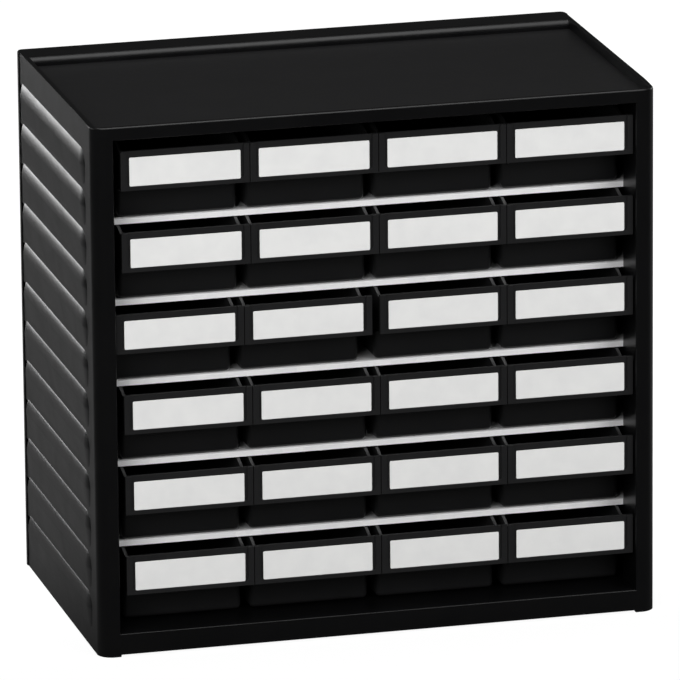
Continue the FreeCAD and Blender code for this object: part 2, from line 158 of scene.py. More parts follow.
@dataclass(frozen=True)
class MouldedPlastic:
    """Black moulded plastic with a fine grain and faint handling marks, and painted light that makes the
    tray's floor paler.
    """

    name: str
    colour: Triple = (0.0016, 0.0016, 0.0018)
    marked_colour: Triple = (0.0023, 0.0023, 0.0025)
    # Painted light: the tray's floor gets this paler colour to stand in for the light that it catches.
    tray_painted_light_colour: Triple = (0.0085, 0.0085, 0.0088)
    tray_level: float = 285 * MM
    tray_band: float = 0.5 * MM
    roughness_low: float = 0.32
    roughness_high: float = 0.38
    specular: float = 0.42
    grain: float = 0.35 * MM
    grain_depth: float = 0.004 * MM
    waviness: float = 14.0 * MM
    waviness_depth: float = 0.010 * MM
    smudge: float = 26.0 * MM

    def build(self) -> bpy.types.Material:
        """Makes the material.

        Returns:
            The finished material.
        """
        material = bpy.data.materials.new(self.name)
        material.use_nodes = True
        bench = ShaderBench(material.node_tree)
        place = bench.add("ShaderNodeTexCoord")
        grain = bench.add("ShaderNodeTexNoise", Scale=1.0 / self.grain, Detail=2.0)
        waves = bench.add("ShaderNodeTexNoise", Scale=1.0 / self.waviness, Detail=1.0)
        smudges = bench.add("ShaderNodeTexNoise", Scale=1.0 / self.smudge, Detail=4.0, Distortion=0.6)
        for pattern in (grain, waves, smudges):
            bench.join(place.outputs["Object"], pattern.inputs["Vector"])
        tint = bench.add("ShaderNodeMix", data_type="RGBA")
        tint.inputs["A"].default_value = (*self.colour, 1.0)
        tint.inputs["B"].default_value = (*self.marked_colour, 1.0)
        bench.join(bench.spread(smudges.outputs["Fac"], 0.0, 1.0), tint.inputs["Factor"])
        # Painted light: faces that look up at the tray's level are mixed towards the paler tray colour.
        shade = bench.add("ShaderNodeMix", data_type="RGBA")
        shade.inputs["B"].default_value = (*self.tray_painted_light_colour, 1.0)
        bench.join(tint.outputs["Result"], shade.inputs["A"])
        bench.join(self.find_painted_tray_light(bench, place), shade.inputs["Factor"])
        sink = bench.add("ShaderNodeBump", Strength=1.0, Distance=self.waviness_depth)
        bench.join(waves.outputs["Fac"], sink.inputs["Height"])
        skin = bench.add("ShaderNodeBump", Strength=1.0, Distance=self.grain_depth)
        bench.join(grain.outputs["Fac"], skin.inputs["Height"])
        bench.join(sink.outputs["Normal"], skin.inputs["Normal"])
        surface = bench.add("ShaderNodeBsdfPrincipled")
        surface.inputs["Specular IOR Level"].default_value = self.specular
        bench.join(shade.outputs["Result"], surface.inputs["Base Color"])
        rough = bench.spread(smudges.outputs["Fac"], self.roughness_low, self.roughness_high)
        bench.join(rough, surface.inputs["Roughness"])
        bench.join(skin.outputs["Normal"], surface.inputs["Normal"])
        bench.show(surface.outputs["BSDF"])
        return material

    def find_painted_tray_light(self, bench: ShaderBench, place: bpy.types.Node) -> bpy.types.NodeSocket:
        """Tells the tray's floor, which gets a paler colour as painted light, from the rims round it.

        Args:
            bench: where the nodes go.
            place: the node that gives the place on the object.

        Returns:
            An output that is 1 on flat faces that look up at the tray's level, and 0 elsewhere.
        """
        spot = bench.add("ShaderNodeSeparateXYZ")
        bench.join(place.outputs["Object"], spot.inputs["Vector"])
        level = bench.add("ShaderNodeMath", operation="COMPARE")
        level.inputs[1].default_value = self.tray_level
        level.inputs[2].default_value = self.tray_band
        bench.join(spot.outputs["Z"], level.inputs[0])
        look = bench.add("ShaderNodeSeparateXYZ")
        bench.join(place.outputs["Normal"], look.inputs["Vector"])
        both = bench.add("ShaderNodeMath", operation="MULTIPLY", use_clamp=True)
        bench.join(level.outputs["Value"], both.inputs[0])
        bench.join(look.outputs["Z"], both.inputs[1])
        return both.outputs["Value"]


@dataclass(frozen=True)
class GalvanisedSheet:
    """Zinc-coated steel sheet: soft spangle and rolling lines, with painted shade on its upward faces."""

    name: str = "galvanised_sheet"
    # Painted reflection: the near-white colour with little metal stands in for the bright room that the sheet
    # would mirror.
    colour: Triple = (0.97, 0.97, 0.97)
    spangle_colour: Triple = (0.91, 0.915, 0.92)
    metal: float = 0.10
    roughness_low: float = 0.46
    roughness_high: float = 0.58
    spangle: float = 7.0 * MM
    # Painted shade: faces that look up are darkened towards this colour, standing in for the shadow under the
    # drawers.
    shaded_top_colour: Triple = (0.60, 0.60, 0.605)
    line_pitch: float = 0.4 * MM
    line_length: float = 60.0 * MM
    line_depth: float = 0.0006 * MM

    def build(self) -> bpy.types.Material:
        """Makes the material.

        Returns:
            The finished material.
        """
        material = bpy.data.materials.new(self.name)
        material.use_nodes = True
        bench = ShaderBench(material.node_tree)
        place = bench.add("ShaderNodeTexCoord")
        crystals = bench.add("ShaderNodeTexVoronoi", Scale=1.0 / self.spangle)
        bench.join(place.outputs["Object"], crystals.inputs["Vector"])
        grey = bench.add("ShaderNodeSeparateColor")
        bench.join(crystals.outputs["Color"], grey.inputs["Color"])
        tint = bench.add("ShaderNodeMix", data_type="RGBA")
        tint.inputs["A"].default_value = (*self.colour, 1.0)
        tint.inputs["B"].default_value = (*self.spangle_colour, 1.0)
        bench.join(grey.outputs["Red"], tint.inputs["Factor"])
        stretch = bench.add("ShaderNodeMapping")
        across = 1.0 / self.line_pitch
        stretch.inputs["Scale"].default_value = (1.0 / self.line_length, across, across)
        bench.join(place.outputs["Object"], stretch.inputs["Vector"])
        lines = bench.add("ShaderNodeTexNoise", Scale=1.0, Detail=3.0)
        bench.join(stretch.outputs["Vector"], lines.inputs["Vector"])
        skin = bench.add("ShaderNodeBump", Strength=1.0, Distance=self.line_depth)
        bench.join(lines.outputs["Fac"], skin.inputs["Height"])
        surface = bench.add("ShaderNodeBsdfPrincipled")
        surface.inputs["Metallic"].default_value = self.metal
        # Painted shade: the upward faces are mixed towards the darker top colour.
        shaded_top = bench.add("ShaderNodeMix", data_type="RGBA")
        shaded_top.inputs["B"].default_value = (*self.shaded_top_colour, 1.0)
        look = bench.add("ShaderNodeSeparateXYZ")
        bench.join(place.outputs["Normal"], look.inputs["Vector"])
        bench.join(bench.spread(look.outputs["Z"], 0.0, 1.0), shaded_top.inputs["Factor"])
        bench.join(tint.outputs["Result"], shaded_top.inputs["A"])
        bench.join(shaded_top.outputs["Result"], surface.inputs["Base Color"])
        rough = bench.spread(grey.outputs["Green"], self.roughness_low, self.roughness_high)
        bench.join(rough, surface.inputs["Roughness"])
        bench.join(skin.outputs["Normal"], surface.inputs["Normal"])
        bench.show(surface.outputs["BSDF"])
        return material


@dataclass(frozen=True)
class CardStock:
    """Matt white card with a fine fibre and a slightly uneven white."""

    name: str = "label_card_stock"
    colour: Triple = (0.72, 0.72, 0.71)
    shaded_colour: Triple = (0.68, 0.68, 0.675)
    roughness: float = 0.85
    specular: float = 0.3
    fibre: float = 0.5 * MM
    fibre_depth: float = 0.012 * MM
    cloud: float = 11.0 * MM

    def build(self) -> bpy.types.Material:
        """Makes the material.

        Returns:
            The finished material.
        """
        material = bpy.data.materials.new(self.name)
        material.use_nodes = True
        bench = ShaderBench(material.node_tree)
        place = bench.add("ShaderNodeTexCoord")
        fibre = bench.add("ShaderNodeTexNoise", Scale=1.0 / self.fibre, Detail=4.0, Distortion=1.2)
        cloud = bench.add("ShaderNodeTexNoise", Scale=1.0 / self.cloud, Detail=3.0)
        bench.join(place.outputs["Object"], fibre.inputs["Vector"])
        bench.join(place.outputs["Object"], cloud.inputs["Vector"])
        tint = bench.add("ShaderNodeMix", data_type="RGBA")
        tint.inputs["A"].default_value = (*self.colour, 1.0)
        tint.inputs["B"].default_value = (*self.shaded_colour, 1.0)
        bench.join(bench.spread(cloud.outputs["Fac"], 0.0, 1.0), tint.inputs["Factor"])
        skin = bench.add("ShaderNodeBump", Strength=1.0, Distance=self.fibre_depth)
        bench.join(fibre.outputs["Fac"], skin.inputs["Height"])
        surface = bench.add("ShaderNodeBsdfPrincipled", Roughness=self.roughness)
        surface.inputs["Specular IOR Level"].default_value = self.specular
        bench.join(tint.outputs["Result"], surface.inputs["Base Color"])
        bench.join(skin.outputs["Normal"], surface.inputs["Normal"])
        bench.show(surface.outputs["BSDF"])
        return material


class Workpiece:
    """A mesh on the bench, with the few moves that the cabinet's pieces need."""

    def __init__(self) -> None:
        """Starts with an empty mesh."""
        self.mesh = bmesh.new()

    def block(self, low: Triple, high: Triple) -> list[bmesh.types.BMFace]:
        """Adds a closed block.

        Args:
            low: its lowest corner.
            high: its highest corner.

        Returns:
            The block's six faces.
        """
        size = Vector(high) - Vector(low)
        middle = (Vector(high) + Vector(low)) / 2.0
        stretch = Matrix.Translation(middle) @ Matrix.Diagonal((*size, 1.0))
        made = bmesh.ops.create_cube(self.mesh, size=1.0, matrix=stretch)
        return list({one for vert in made["verts"] for one in vert.link_faces})

    def looking(self, way: Facing,
                faces: Iterable[bmesh.types.BMFace] | None = None) -> list[bmesh.types.BMFace]:
        """Finds the flat faces that look one way.

        Args:
            way: the direction that they face.
            faces: where to look, or the whole mesh.

        Returns:
            The faces found, the largest first.
        """
        pool = list(self.mesh.faces if faces is None else faces)
        for one in pool:
            one.normal_update()
        found = [one for one in pool if one.normal.dot(Vector(way.value)) > SAME_WAY]
        return sorted(found, key=lambda one: -one.calc_area())

    def edges(self, rule: Callable[[Vector, Vector], bool]) -> list[bmesh.types.BMEdge]:
        """Finds edges by the places of their two ends.

        Args:
            rule: says yes or no to a pair of ends.

        Returns:
            The edges that the rule accepts.
        """
        return [one for one in self.mesh.edges if rule(one.verts[0].co, one.verts[1].co)]

    def cut(self, faces: Sequence[bmesh.types.BMFace], point: Triple,
            normal: Triple) -> list[bmesh.types.BMFace]:
        """Divides some faces along a plane.

        Args:
            faces: the faces to divide.
            point: a point on the plane.
            normal: the plane's direction.

        Returns:
            Every face on the place of the ones given.
        """
        geometry = {*faces}
        for one in faces:
            geometry.update(one.verts)
            geometry.update(one.edges)
        made = bmesh.ops.bisect_plane(
            self.mesh, geom=list(geometry), dist=CUT_REACH, plane_co=point, plane_no=normal)
        return [one for one in made["geom"] if isinstance(one, bmesh.types.BMFace)]

    def inset(self, one: bmesh.types.BMFace, width: float) -> bmesh.types.BMFace:
        """Insets a face evenly.

        Args:
            one: the face.
            width: how far its border runs in.

        Returns:
            The same face, now smaller.
        """
        bmesh.ops.inset_individual(self.mesh, faces=[one], thickness=width, use_even_offset=True)
        return one

    def push(self, one: bmesh.types.BMFace, step: Triple) -> bmesh.types.BMFace:
        """Draws a face out or in, with walls behind it.

        Args:
            one: the face.
            step: how far and which way it goes.

        Returns:
            The moved face.
        """
        made = bmesh.ops.extrude_discrete_faces(self.mesh, faces=[one])["faces"][0]
        bmesh.ops.translate(self.mesh, verts=made.verts[:], vec=Vector(step))
        return made

    def push_region(self, faces: Sequence[bmesh.types.BMFace], step: Triple) -> list[bmesh.types.BMVert]:
        """Draws several faces out or in as one, with walls only round them all.

        Args:
            faces: the faces.
            step: how far and which way they go.

        Returns:
            The corners of the moved faces.
        """
        made = bmesh.ops.extrude_face_region(self.mesh, geom=list(faces))["geom"]
        moved = [one for one in made if isinstance(one, bmesh.types.BMVert)]
        bmesh.ops.delete(self.mesh, geom=[one for one in faces if one.is_valid], context="FACES_ONLY")
        bmesh.ops.translate(self.mesh, verts=moved, vec=Vector(step))
        return moved

    def round_edges(self, edges: Sequence[bmesh.types.BMEdge], radius: float, segments: int) -> None:
        """Rounds edges.

        Args:
            edges: the edges to round.
            radius: the rounding's reach along the faces beside them.
            segments: how many facets it gets.
        """
        if not edges:
            raise ValueError("no edge to round")
        bmesh.ops.bevel(self.mesh, geom=list(edges), offset=radius, offset_type="OFFSET", segments=segments,
                        profile=0.5, affect="EDGES", clamp_overlap=True, material=-1)

    def finish(self, name: str, material: bpy.types.Material, edge: float, segments: int = 2,
               angle: float = 34.0, shading: Shading = Shading.SOFT) -> bpy.types.Object:
        """Turns the workpiece into an object with softened edges.

        Args:
            name: the object's name.
            material: its finish.
            edge: the radius that is left on every sharp edge.
            segments: how many facets that rounding gets.
            angle: the smallest turn, in degrees, that counts as a sharp edge.
            shading: how its normals are set.

        Returns:
            The object.
        """
        data = bpy.data.meshes.new(name)
        self.mesh.to_mesh(data)
        self.mesh.free()
        data.materials.append(material)
        if shading is not Shading.FLAT:
            data.shade_smooth()
        made = bpy.data.objects.new(name, data)
        bpy.context.scene.collection.objects.link(made)
        soft = made.modifiers.new("soft_edges", "BEVEL")
        soft.width = edge
        soft.segments = segments
        soft.limit_method = "ANGLE"
        soft.angle_limit = math.radians(angle)
        soft.harden_normals = shading is not Shading.FLAT
        soft.use_clamp_overlap = True
        if shading is Shading.EVEN:
            even = made.modifiers.new("even_shading", "WEIGHTED_NORMAL")
            even.mode = "FACE_AREA"
            even.keep_sharp = True
        return made


@dataclass
class CabinetFrame:
    """The moulded frame: posts, rails, plinth, tray top, lapped side panels, flanges and inner ledges."""

    width: float = 310 * MM
    depth: float = 180 * MM
    height: float = 290 * MM
    step_rise: float = 1.4 * MM
    front_radius: float = 8 * MM
    back_radius: float = 3 * MM
    post_width: float = 11.4 * MM
    post_depth: float = 24.4 * MM
    wall: float = 3 * MM
    back_wall: float = 2.6 * MM
    rail_height: float = 7.4 * MM
    top_recess: float = 5 * MM
    top_thickness: float = 2 * MM
    rim_width: float = 2.6 * MM
    rear_rim: float = 20.5 * MM
    rear_round: float = 4.5 * MM
    rim_round: float = 1.3 * MM
    floor_height: float = 12.6 * MM
    floor_thickness: float = 3 * MM
    foot_rise: float = 1.2 * MM
    opening_round: float = 1.2 * MM
    panel_recess: float = 0.9 * MM
    panel_border: float = 12 * MM
    step_pitch: float = 22.15 * MM
    step_first: float = 8.2 * MM
    step_slope: float = 8 * MM
    step_curve: float = 1.7
    step_gap: float = 1.2 * MM
    step_front: float = 18 * MM
    step_back: float = 13 * MM
    step_corner: float = 9 * MM
    flange_depth: float = 6 * MM
    flange_rise: float = 0.5 * MM
    pocket_length: float = 5.4 * MM
    pocket_height: float = 5.6 * MM
    pocket_depth: float = 1.5 * MM
    pocket_below: float = 1.2 * MM
    ledge_depth: float = 8 * MM
    ledge_thickness: float = 2 * MM
    ledge_setback: float = 28 * MM
    shelf_sheet: float = 1 * MM
    first_inset: float = 2 * MM
    edge: float = 0.3 * MM
    edge_angle: float = 50.0
    steps: int = 12
    round_steps: int = 9
    overlap: float = 1 * MM
    bite: float = 0.2 * MM
    work: Workpiece = field(default_factory=Workpiece)

    @property
    def side(self) -> float:
        """Half the width between the plain side faces."""
        return self.width / 2 - self.step_rise

    @property
    def opening_side(self) -> float:
        """Half the width of the front opening."""
        return self.side - self.post_width

    @property
    def inner_side(self) -> float:
        """Half the width inside."""
        return self.side - self.wall

    @property
    def inner_back(self) -> float:
        """The Y of the back wall's inner face."""
        return self.depth / 2 - self.back_wall

    def build(self, material: bpy.types.Material) -> bpy.types.Object:
        """Makes the whole frame.

        Args:
            material: its finish.

        Returns:
            The frame's object, riding on the cabinet.
        """
        self.shape_block()
        self.open_front()
        self.sink_tray()
        self.hollow_underside()
        self.recess_back()
        self.lift_plinth()
        self.cut_pockets()
        for side in Side:
            self.add_flange(side)
            for number in range(self.steps):
                self.add_panel(side, number)
            for number in range(1, self.steps):
                self.add_ledge(side, number)
        made = self.work.finish("cabinet_frame", material, self.edge, angle=self.edge_angle,
                                shading=Shading.EVEN)
        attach(made, "cabinet")
        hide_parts("cabinet_shell")
        return made

    def shape_block(self) -> None:
        """Makes the block with its rounded upright corners."""
        work = self.work
        half = self.depth / 2
        work.block((-self.side, -half, 0.0), (self.side, half, self.height))
        upright = work.edges(lambda a, b: abs(a.z - b.z) > self.height / 2 and a.y < 0)
        work.round_edges(upright, self.front_radius, 12)
        upright = work.edges(lambda a, b: abs(a.z - b.z) > self.height / 2 and a.y > half - NEAR
                             and abs(a.x) > self.side - NEAR)
        work.round_edges(upright, self.back_radius, 5)
        rim = work.edges(lambda a, b: min(a.z, b.z) > self.height - NEAR
                         and max(a.y, b.y) < self.front_radius - half + NEAR)
        work.round_edges(rim, self.rim_round, 4)

    def open_front(self) -> None:
        """Cuts the opening, widens it behind the posts and rounds its rim."""
        work = self.work
        front = work.looking(Facing.FRONT)[0]
        hole = work.inset(front, self.first_inset)
        self.set_rectangle(hole, self.opening_side, self.floor_height, self.height - self.rail_height)
        hole = work.push(hole, (0.0, self.post_depth, 0.0))
        hole = work.push(hole, (0.0, 0.0, 0.0))
        ceiling = self.height - self.top_recess - self.top_thickness
        self.set_rectangle(hole, self.inner_side, self.floor_height, ceiling)
        work.push(hole, (0.0, self.inner_back + self.depth / 2 - self.post_depth, 0.0))
        front_y = -self.depth / 2
        rim = work.edges(lambda a, b: max(a.y, b.y) < front_y + NEAR
                         and max(abs(a.x), abs(b.x)) < self.opening_side + NEAR
                         and min(a.z, b.z) > self.floor_height - NEAR
                         and max(a.z, b.z) < self.height - self.rail_height + NEAR)
        work.round_edges(rim, self.opening_round, 4)

    @staticmethod
    def set_rectangle(one: bmesh.types.BMFace, half: float, low: float, high: float) -> None:
        """Moves the corners of an upright face to a rectangle.

        Args:
            one: a face with four corners, facing along Y.
            half: half the rectangle's width.
            low: its lower side's Z.
            high: its upper side's Z.
        """
        middle = one.calc_center_median().z
        for vert in one.verts:
            vert.co.x = math.copysign(half, vert.co.x)
            vert.co.z = high if vert.co.z > middle else low

    def sink_tray(self) -> None:
        """Sinks the tray into the top, with a wide rim at the back that rounds down into it."""
        work = self.work
        half = self.side - self.rim_width
        front = self.rim_width - self.depth / 2
        wall = self.depth / 2 - self.rear_rim
        crest = wall + self.rear_round
        turns = [math.radians(90.0 * step / self.round_steps) for step in range(self.round_steps + 1)]
        top = work.looking(Facing.UP)[:1]
        for x in (-half, half):
            top = work.cut(top, (x, 0.0, 0.0), Facing.RIGHT.value)
        for y in (front, *(crest - self.rear_round * math.sin(turn) for turn in turns)):
            top = work.cut(top, (0.0, y, 0.0), Facing.BACK.value)
        middles = [(one, one.calc_center_median()) for one in top]
        tray = [one for one, middle in middles if abs(middle.x) < half and front < middle.y < crest]
        floor = work.push_region(tray, (0.0, 0.0, 0.0))
        for vert in floor:
            reach = min(max((crest - vert.co.y) / self.rear_round, 0.0), 1.0)
            drop = self.rear_round * (1.0 - math.cos(math.asin(reach)))
            vert.co.z -= self.top_recess if reach > 1.0 - NEAR else drop
        bmesh.ops.dissolve_degenerate(work.mesh, dist=NEAR, edges=work.mesh.edges[:])
        corners = work.edges(lambda a, b: abs(a.z - b.z) > self.top_recess - NEAR
                             and max(abs(a.x), abs(b.x)) < half + NEAR and abs(a.y - front) < NEAR)
        work.round_edges(corners, self.front_radius - self.rim_width, 6)

    def hollow_underside(self) -> None:
        """Hollows the underside up to the floor."""
        work = self.work
        under = work.inset(work.looking(Facing.DOWN)[0], self.wall)
        work.push(under, (0.0, 0.0, self.floor_height - self.floor_thickness))

    def recess_back(self) -> None:
        """Sinks the plain panel into the back."""
        work = self.work
        panel = work.inset(work.looking(Facing.BACK)[0], self.panel_border)
        ceiling = self.height - self.top_recess - self.top_thickness
        half = self.side - self.panel_border
        self.set_rectangle(panel, half, self.floor_height + self.panel_border, ceiling - self.panel_border)
        work.push(panel, (0.0, -self.panel_recess, 0.0))

    def lift_plinth(self) -> None:
        """Lifts the plinth's lower edge, so that the cabinet stands on its sides."""
        work = self.work
        for side in Side:
            for reach in (self.opening_side, self.opening_side - self.bite):
                low = [one for one in work.mesh.faces if min(vert.co.z for vert in one.verts) < NEAR]
                work.cut(low, (side.value * reach, 0.0, 0.0), Facing.RIGHT.value)
        for vert in work.mesh.verts:
            if vert.co.z < NEAR and abs(vert.co.x) < self.opening_side - self.bite + NEAR:
                vert.co.z += self.foot_rise

    def cut_pockets(self) -> None:
        """Cuts the row of small pockets in front of each rear flange."""
        work = self.work
        rear = self.depth / 2 - self.flange_depth
        front = rear - self.pocket_length
        for way in (Facing.LEFT, Facing.RIGHT):
            outer = work.looking(way)[:1]
            for level in (front, rear):
                outer = work.cut(outer, (0.0, level, 0.0), Facing.BACK.value)
            strip = [one for one in outer if front < one.calc_center_median().y < rear]
            for number in range(1, self.steps + 1):
                top = self.step_first + self.step_pitch * number - self.pocket_below
                for level in (top, top - self.pocket_height):
                    strip = work.cut(strip, (0.0, 0.0, level), Facing.UP.value)
            inward = -way.value[0] * self.pocket_depth
            for one in strip:
                height = one.calc_center_median().z
                above = (height - self.step_first + self.pocket_below) / self.step_pitch
                if 0.5 < above and (math.ceil(above - NEAR) - above) * self.step_pitch < self.pocket_height:
                    work.push(one, (inward, 0.0, 0.0))

    def add_flange(self, side: Side) -> None:
        """Adds the upright flange at the back of one side."""
        inner = self.side - self.overlap
        outer = self.side + self.flange_rise
        left, right = sorted((side.value * inner, side.value * outer))
        rear = self.depth / 2 - self.back_radius
        front = self.depth / 2 - self.flange_depth
        self.work.block((left, front, 0.0), (right, rear, self.height - self.bite))

    def add_panel(self, side: Side, number: int) -> None:
        """Adds one lapped panel: flush at its foot, proud at its crest, and rounded over above and in front.

        It is modelled as proud as its rounding is tall, then pressed to its real rise and a flatter curve.

        Args:
            side: the side that it is on.
            number: counted from the lowest.
        """
        work = self.work
        level = self.step_first + self.step_pitch * (number + 1)
        low = level - self.step_pitch + self.step_gap
        inner = self.side - self.overlap
        outer = self.side + self.step_slope
        left, right = sorted((side.value * inner, side.value * outer))
        front = -self.depth / 2 + self.step_front
        rear = self.depth / 2 - self.step_back
        faces = work.block((left, front, low), (right, rear, level))
        corner = [one for one in {edge for face in faces for edge in face.edges}
                  if all(vert.co.y < front + NEAR and vert.co.z > level - NEAR for vert in one.verts)]
        work.round_edges(corner, self.step_corner, 6)
        shoulder = work.edges(lambda a, b: min(side.value * a.x, side.value * b.x) > outer - NEAR
                              and low - NEAR < min(a.z, b.z) and max(a.z, b.z) < level + NEAR
                              and max(a.z, b.z) > low + NEAR
                              and (max(a.y, b.y) < rear - NEAR or min(a.z, b.z) > level - NEAR))
        work.round_edges(shoulder, self.step_slope, 9)
        crest = level - self.step_slope
        for vert in work.mesh.verts:
            proud = side.value * vert.co.x - self.side
            if proud > NEAR and vert.co.y < rear + NEAR and low - NEAR < vert.co.z < level + NEAR:
                share = min((vert.co.z - low) / (crest - low), 1.0)
                press = share * self.step_rise * (proud / self.step_slope) ** self.step_curve
                vert.co.x = side.value * (self.side + press - self.bite * (1.0 - share))

    def add_ledge(self, side: Side, number: int) -> None:
        """Adds one of the ledges inside that can carry a shelf.

        Args:
            side: the side that it is on.
            number: counted from the lowest.
        """
        level = self.floor_height + self.step_pitch * number - self.shelf_sheet
        left, right = sorted((side.value * (self.inner_side - self.ledge_depth),
                              side.value * (self.inner_side + self.overlap)))
        front = -self.depth / 2 + self.ledge_setback
        rear = self.inner_back + self.overlap
        self.work.block((left, front, level - self.ledge_thickness), (right, rear, level))


@dataclass
class SteelShelf:
    """One galvanised shelf with its front edge folded down."""

    number: int
    level: float
    half_width: float = 150.3 * MM
    front: float = -65 * MM
    back: float = 87.1 * MM
    sheet: float = 1 * MM
    lip_height: float = 3.4 * MM
    bend: float = 1.2 * MM
    edge: float = 0.12 * MM

    def build(self, material: bpy.types.Material) -> bpy.types.Object:
        """Makes the shelf.

        Args:
            material: its finish.

        Returns:
            The shelf's object, riding on the cabinet.
        """
        work = Workpiece()
        work.block((-self.half_width, self.front, self.level - self.sheet),
                   (self.half_width, self.back, self.level))
        under = work.looking(Facing.DOWN)[0]
        strips = work.cut([under], (0.0, self.front + self.sheet, 0.0), Facing.BACK.value)
        lip = min(strips, key=lambda one: one.calc_center_median().y)
        work.push(lip, (0.0, 0.0, self.sheet - self.lip_height))
        fold = work.edges(lambda a, b: max(a.y, b.y) < self.front + NEAR
                          and min(a.z, b.z) > self.level - NEAR)
        work.round_edges(fold, self.bend, 5)
        name = "shelf_%d" % self.number
        made = work.finish("steel_" + name, material, self.edge, shading=Shading.FLAT)
        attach(made, "cabinet")
        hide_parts(name)
        return made


@dataclass
class Drawer:
    """One drawer: an open tub, a hopper that leans out in front, and the plate with its label holder."""

    tag: str
    x: float
    y: float
    z: float
    plate_width: float = 69.5 * MM
    plate_height: float = 21.2 * MM
    plate_thickness: float = 2.6 * MM
    plate_top: float = 41.2 * MM
    tub_width: float = 65.2 * MM
    tub_depth: float = 152.4 * MM
    tub_height: float = 40.2 * MM
    tub_wall: float = 1.6 * MM
    tub_radius: float = 2.8 * MM
    hopper_depth: float = 21.2 * MM
    hopper_drop: float = 26 * MM
    hopper_tuck: float = 2.4 * MM
    cheek_drop: float = 6 * MM
    holder_rim: float = 3.1 * MM
    holder_depth: float = 0.9 * MM
    holder_corner: float = 2 * MM
    holder_floor: float = 2.3 * MM
    edge: float = 0.2 * MM

    def build(self, material: bpy.types.Material) -> bpy.types.Object:
        """Makes the drawer.

        Args:
            material: its finish.

        Returns:
            The drawer's object, riding on its own body.
        """
        work = Workpiece()
        self.add_tray(work)
        self.add_plate(work)
        bmesh.ops.translate(work.mesh, verts=work.mesh.verts[:], vec=(self.x, self.y, self.z))
        made = work.finish("drawer_box_" + self.tag, material, self.edge)
        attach(made, "drawer_" + self.tag)
        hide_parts("drawer_" + self.tag)
        return made

    def add_tray(self, work: Workpiece) -> None:
        """Makes the tub and the hopper as one open tray with even walls.

        Args:
            work: the bench that the drawer is made on.
        """
        half = self.tub_width / 2
        front = self.hopper_depth
        back = front + self.tub_depth
        knee = self.plate_top - self.hopper_drop
        faces = work.block((-half, front, 0.0), (half, back, self.tub_height))
        parts = work.cut(work.looking(Facing.FRONT, faces), (0.0, 0.0, knee), Facing.UP.value)
        upper = max(parts, key=lambda one: one.calc_center_median().z)
        mouth = work.push(upper, (0.0, self.plate_thickness / 2 - front, 0.0))
        for vert in mouth.verts:
            if vert.co.z < knee + NEAR:
                vert.co.z = self.plate_top - self.plate_height + self.hopper_tuck
        bmesh.ops.delete(work.mesh, geom=work.looking(Facing.UP), context="FACES_ONLY")
        for vert in mouth.verts:
            if vert.co.z > self.tub_height - NEAR:
                vert.co.z -= self.cheek_drop
        rounded = work.edges(lambda a, b: self.is_tub_edge(a, b, knee))
        work.round_edges(rounded, self.tub_radius, 5)
        bmesh.ops.recalc_face_normals(work.mesh, faces=work.mesh.faces[:])
        bmesh.ops.solidify(work.mesh, geom=work.mesh.faces[:], thickness=self.tub_wall)

    def is_tub_edge(self, a: Vector, b: Vector, knee: float) -> bool:
        """Says whether an edge is one of the tub's outer corners.

        Args:
            a: one end of the edge.
            b: its other end.
            knee: the height where the hopper begins.

        Returns:
            True for the edges round the bottom and the upright corners.
        """
        upright = (a - b).xy.length < NEAR
        back = min(a.y, b.y) > self.hopper_depth + self.tub_depth - NEAR
        low_front = abs(a.y - self.hopper_depth) < NEAR and max(a.z, b.z) < knee + NEAR
        bottom = max(a.z, b.z) < NEAR
        return bottom or (upright and (back or low_front))

    def add_plate(self, work: Workpiece) -> None:
        """Makes the label plate with its U-shaped holder.

        Args:
            work: the bench that the drawer is made on.
        """
        half = self.plate_width / 2
        low = self.plate_top - self.plate_height
        faces = work.block((-half, self.holder_depth, low), (half, self.plate_thickness, self.plate_top))
        inner = half - self.holder_rim
        foot = low + self.holder_floor
        grid = work.looking(Facing.FRONT, faces)
        for x in (-inner, inner):
            grid = work.cut(grid, (x, 0.0, 0.0), Facing.RIGHT.value)
        grid = work.cut(grid, (0.0, 0.0, foot), Facing.UP.value)
        middles = [(one, one.calc_center_median()) for one in grid]
        rim = [one for one, middle in middles if abs(middle.x) > inner or middle.z < foot]
        made = bmesh.ops.extrude_face_region(work.mesh, geom=rim, use_keep_orig=False)["geom"]
        raised = [one for one in made if isinstance(one, bmesh.types.BMVert)]
        bmesh.ops.delete(work.mesh, geom=[one for one in rim if one.is_valid], context="FACES_ONLY")
        bmesh.ops.translate(work.mesh, verts=raised, vec=(0.0, -self.holder_depth, 0.0))
        corners = work.edges(lambda a, b: abs(abs(a.x) - inner) < NEAR and abs(a.z - foot) < NEAR
                             and abs(abs(b.x) - inner) < NEAR and abs(b.z - foot) < NEAR
                             and abs(a.y - b.y) > self.holder_depth / 2)
        work.round_edges(corners, self.holder_corner, 6)


@dataclass
class LabelCard:
    """The plain white card in a drawer's label holder."""

    tag: str
    x: float
    y: float
    z: float
    width: float = 60 * MM
    height: float = 15.5 * MM
    thickness: float = 0.4 * MM
    corner: float = 0.6 * MM
    edge: float = 0.06 * MM

    def build(self, material: bpy.types.Material) -> bpy.types.Object:
        """Makes the card.

        Args:
            material: its finish.

        Returns:
            The card's object, riding with its drawer.
        """
        work = Workpiece()
        work.block((self.x - self.width / 2, self.y, self.z),
                   (self.x + self.width / 2, self.y + self.thickness, self.z + self.height))
        corners = work.edges(lambda a, b: abs(a.y - b.y) > self.thickness / 2)
        work.round_edges(corners, self.corner, 4)
        made = work.finish("label_card_" + self.tag, material, self.edge, 1, shading=Shading.FLAT)
        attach(made, "drawer_" + self.tag)
        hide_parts("label_" + self.tag)
        return made


